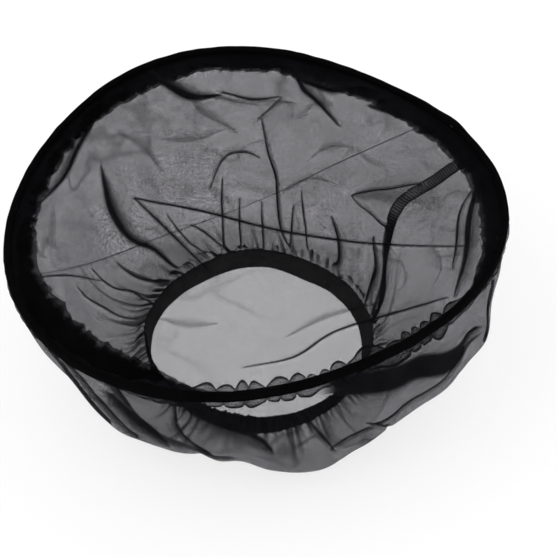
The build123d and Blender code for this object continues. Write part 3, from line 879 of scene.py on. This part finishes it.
def build_crown():
    """The slack net disc, pinned to the rim tape's inside."""
    n = CROWN_CELLS + 1
    start, rest, pinned = [], [], []
    for j in range(n):
        for i in range(n):
            u, v = 2 * i / CROWN_CELLS - 1, 2 * j / CROWN_CELLS - 1
            x, y = u * math.sqrt(1 - v * v / 2), v * math.sqrt(1 - u * u / 2)
            turn, share = math.atan2(y, x), math.hypot(x, y)
            r = crown_edge(turn) * share
            x, y = r * math.cos(turn), r * math.sin(turn)
            inside = 1 - share ** 2
            dip = -CROWN_DIP * inside + inside * 5 * MM * noise_at(22 * x, 22 * y, 4)
            start.append((x, y, CROWN_Z + dip))
            rest.append((x * CROWN_SLACK, y * CROWN_SLACK, CROWN_Z))
            if i in (0, n - 1) or j in (0, n - 1):
                pinned.append(j * n + i)
    faces = grid_faces(n, n, False)
    points = np.array(start)
    points = simulate(start, faces, rest, pinned, CROWN_FRAMES, [], folds=False, bending=0.05)
    grid = finer(relax(points.reshape(n, n, 3), 3, False), False)
    flat = finer(np.array(rest).reshape(n, n, 3), False)[:, :, :2]
    size = grid.shape[0]
    tree = BVHTree.FromPolygons(grid.reshape(-1, 3).tolist(), grid_faces(size, size, False))

    def at(x, y):
        """The net's point under a place, and up."""
        hit = tree.ray_cast(Vector((x, y, HOOP_Z + 0.1)), Vector((0, 0, -1)))[0]
        return (hit or Vector((x, y, CROWN_Z))), Vector((0, 0, 1))

    net = Cloth()
    rumpled, creased = crumple(grid, 8, 17, 0.9 * MM, 0.16)
    tall, dense = pressed(grid[:, :, 0] / MM, grid[:, :, 1] / MM, CROWN_FOLDS)
    free = np.clip(1 - (np.hypot(grid[:, :, 0], grid[:, :, 1]) / HOOP[0]) ** 6, 0, 1)
    raised = grid.copy()
    raised[:, :, 2] += (tall + rumpled) * free
    net.add(raised, flat, np.clip(creased + dense, 0, 0.9))
    for path, _, sharp, lifted in CROWN_FOLDS:
        if sharp:
            points, cloth, shade = crease(at, path, sharp)
            points[:, :, 2] += lifted * MM
            net.add(points, cloth, shade)
    obj = net.make("crown_net", NET, NET_THICKNESS)
    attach(obj, "crown")
    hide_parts("crown_panel")
    turns = np.linspace(0, 2 * math.pi, 360, endpoint=False)
    area = math.pi * float(np.mean((hoop_radius(turns) - CROWN_INSET) ** 2)) * CROWN_SLACK ** 2


# -------- swept bands
# How many sections each band has round it.
TAPE_STEPS, HEM_STEPS, FRILL_STEPS, BAND_STEPS = 560, 900, 1400, 420


def swept(sections, close_section):
    """Points, cloth map and sizes of a band, from rings of points round the neck or the rim."""
    points = np.array([[tuple(p) for p in section] for section in sections])
    points = np.concatenate([points, points[:1]], 0)
    if close_section:
        points = np.concatenate([points, points[:, :1]], 1)
    around = np.concatenate([[0], np.cumsum(np.linalg.norm(np.diff(points[:, 0], axis=0), axis=1))])
    steps = np.linalg.norm(np.diff(points, axis=1), axis=2)
    across = np.concatenate([np.zeros((len(points), 1)), np.cumsum(steps, axis=1)], 1)
    return points, np.dstack([np.broadcast_to(around[:, None], across.shape), across])


def solid_band(name, sections, material):
    """A closed band: the doubled points along its map's seams are joined."""
    points, uvs = swept(sections, True)
    rows, columns = points.shape[:2]
    obj = mesh_object(name, points.reshape(-1, 3), grid_faces(rows, columns, False), uvs.reshape(-1, 2))
    work = bmesh.new()
    work.from_mesh(obj.data)
    bmesh.ops.remove_doubles(work, verts=work.verts, dist=0.02 * MM)
    bmesh.ops.recalc_face_normals(work, faces=work.faces)
    work.to_mesh(obj.data)
    work.free()
    obj.data.materials.append(material)
    return obj


def rounded(half_out, half_up, steps=12, power=0.55):
    """Points of a rounded rectangle, as (out, up)."""
    points = []
    for _, c, s in circle(steps):
        out = half_out * math.copysign(abs(c) ** power, c)
        up = half_up * math.copysign(abs(s) ** power, s)
        points.append((out, up))
    return points


JOIN = math.radians(33)  # where the ends of the hoop meet


def near_join(angle, width=0.07):
    """How close a place is to the hoop's join: 1 at it, fading to 0 within a few widths, in radians."""
    turn = (angle - JOIN + math.pi) % (2 * math.pi) - math.pi
    return math.exp(-((turn / width) ** 2))


def build_rim_tape():
    """Woven tape folded over the wire. It rolls a little as it goes round, and kinks out at the join."""
    sections = []
    for a, c, s in circle(TAPE_STEPS):
        roll = 0.25 * noise_at(4 * c, 4 * s, 1) + 0.1 * noise_at(14 * c, 14 * s, 2)
        out = 0.5 * MM * noise_at(5 * c, 5 * s, 3) + 1.1 * MM * near_join(a)
        up = -1.4 * MM + 0.6 * MM * noise_at(9 * c, 9 * s, 5)
        half_up = (4.0 + 0.35 * noise_at(20 * c, 20 * s, 6)) * MM
        half_out = (2.2 + 0.6 * near_join(a, 0.09)) * MM
        sections.append([rim_point(a, out + o * math.cos(roll) - z * math.sin(roll),
                                   up + o * math.sin(roll) + z * math.cos(roll))
                         for o, z in rounded(half_out, half_up)])
    obj = solid_band("rim_tape_woven", sections, TAPE)
    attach(obj, "crown")
    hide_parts("rim_tape", "rim_tape_lap", "rim_lap_tack", "rim_stitching")


# How far the turned-in hem leans down from level, in degrees, and its width in mm, round the rim.
HEM_LEAN = ((0, 25), (30, 10), (60, 8), (90, 5), (140, 0), (180, 0), (215, -18), (235, -22), (262, 30),
            (285, 47), (335, 47))
HEM_WIDTH = ((0, 17), (35, 17), (60, 15), (90, 15), (125, 16), (150, 14), (172, 15), (190, 19), (215, 24),
             (240, 20), (262, 12), (285, 9), (330, 9), (350, 14))


def build_hem():
    """The wide net hem turned in along the rim: several layers, pleated, with a ragged inner edge."""
    across = 13
    sections, dense = [], []
    for a, c, s in circle(HEM_STEPS):
        lean = math.radians(by_angle(a, HEM_LEAN) + 10 * noise_at(6 * c, 6 * s, 8))
        ragged = 2.2 * noise_at(16 * c, 16 * s, 9) + 1.4 * noise_at(45 * c, 45 * s, 9)
        ragged += 0.8 * noise_at(110 * c, 110 * s, 9)
        width = (by_angle(a, HEM_WIDTH) + ragged) * MM
        section, shade = [], []
        for m in range(across):
            t = m / (across - 1)
            ruffle = 1.5 * noise_at(22 * c, 22 * s, 3 * t + 11) + 0.7 * noise_at(70 * c, 70 * s, t + 5)
            wave = MM * t * ruffle
            outer = 1.1 * MM * near_join(a) - 0.6 * MM
            section.append(rim_point(a, outer - width * t * math.cos(lean) + wave * math.sin(lean),
                                     -3.0 * MM - width * t * math.sin(lean) + wave * math.cos(lean)))
            edge = 0.74 + 0.16 * noise_at(30 * c, 30 * s, 12)
            shade.append(0.93 - 0.68 * float(smooth((t - edge) / 0.22)))
        sections.append(section)
        dense.append(shade)
    points, uvs = swept(sections, False)
    band = Cloth()
    band.add(points, uvs, np.array(dense + dense[:1]))
    obj = band.make("rim_hem", HEM, 0.7 * MM)
    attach(obj, "crown")
    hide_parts("rim_facing", "facing_stitching")


# How far the frill stands out of the tape, in mm, round the rim.
FRILL_SIZE = ((0, 2.0), (20, 1.5), (90, 1.0), (180, 1.0), (235, 1.5), (255, 5.5), (315, 5.0), (345, 2.5))


def build_frill(name, node, side, seed):
    """A gathered net edge that stands out of the tape in scallops, on one side of it."""
    across = 7
    sections, dense = [], []
    for a, c, s in circle(FRILL_STEPS):
        size = by_angle(a, FRILL_SIZE) * MM
        beat = 74 * a + 12 * noise_at(4 * c, 4 * s, seed)
        scallop = abs(math.sin(beat / 2)) ** 0.4
        reach = size * (0.2 + 0.8 * scallop) * (1 + 1.0 * noise_at(11 * c, 11 * s, seed + 2))
        ripple = 0.5 * MM * math.cos(beat)
        section, shade = [], []
        for m in range(across):
            t = m / (across - 1)
            if side > 0:
                out, up = 1.4 * MM + reach * t * 0.62 + ripple * t, -3.6 * MM - reach * t * 0.85
            else:
                out, up = -1.0 * MM - reach * t * 0.8 + ripple * t, 1.0 * MM + reach * t * 0.75
            section.append(rim_point(a, out, up))
            shade.append(0.2 + 0.65 * float(smooth((t - 0.7) / 0.2)) + 0.5 * (1 - scallop))
        sections.append(section)
        dense.append(shade)
    points, uvs = swept(sections, False)
    edge = Cloth()
    edge.add(points, uvs, np.clip(np.array(dense + dense[:1]), 0, 0.95))
    obj = edge.make(name, NET, NET_THICKNESS)
    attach(obj, "crown")
    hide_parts(node)


def build_neck_band():
    """The woven casing round the elastic: a flat band that leans out at the sides and puckers."""
    sections, inner = [], []
    elastic_half = (ELASTIC_HIGH.z - ELASTIC_LOW.z) / 2 * 0.9
    for a, c, s in circle(BAND_STEPS):
        pucker = 0.35 * MM * math.sin(95 * a + 3 * noise_at(9 * c, 9 * s, 23))
        section = []
        for o, z in rounded(1.1 * MM + 0.4 * pucker, BAND_H / 2 - 0.3 * MM, 14, 0.45):
            r, up = band_point(a, o + pucker * (2 * z / BAND_H) ** 2, z)
            section.append((r * c, r * s, max(up, 0.15 * MM)))
        sections.append(section)
        ring = [band_point(a, o, z) for o, z in rounded(0.35 * MM, elastic_half, 8, 0.45)]
        inner.append([(r * c, r * s, up) for r, up in ring])
    obj = solid_band("neck_band_tape", sections, NECK_TAPE)
    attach(obj, "neck_band")
    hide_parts("neck_casing", "neck_stitching")
    obj = solid_band("neck_elastic_braid", inner, ELASTIC)
    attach(obj, "neck_band")
    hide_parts("neck_elastic", "neck_elastic_tack")


def finish_wire():
    """Drawn spring steel on the hoop and its ferrule, which the tape hides."""
    for node in ("rim_hoop", "hoop_ferrule"):
        mesh = bpy.data.objects[node].data
        mesh.materials.clear()
        mesh.materials.append(STEEL)


# -------- the whole veil
build_seam(*build_wall())
build_crown()
build_rim_tape()
build_hem()
for frill, frill_node, frill_side, frill_seed in (("crown_frill_net", "crown_frill", -1, 30),
                                                  ("wall_frill_net", "wall_frill", 1, 40)):
    build_frill(frill, frill_node, frill_side, frill_seed)
build_neck_band()
finish_wire()
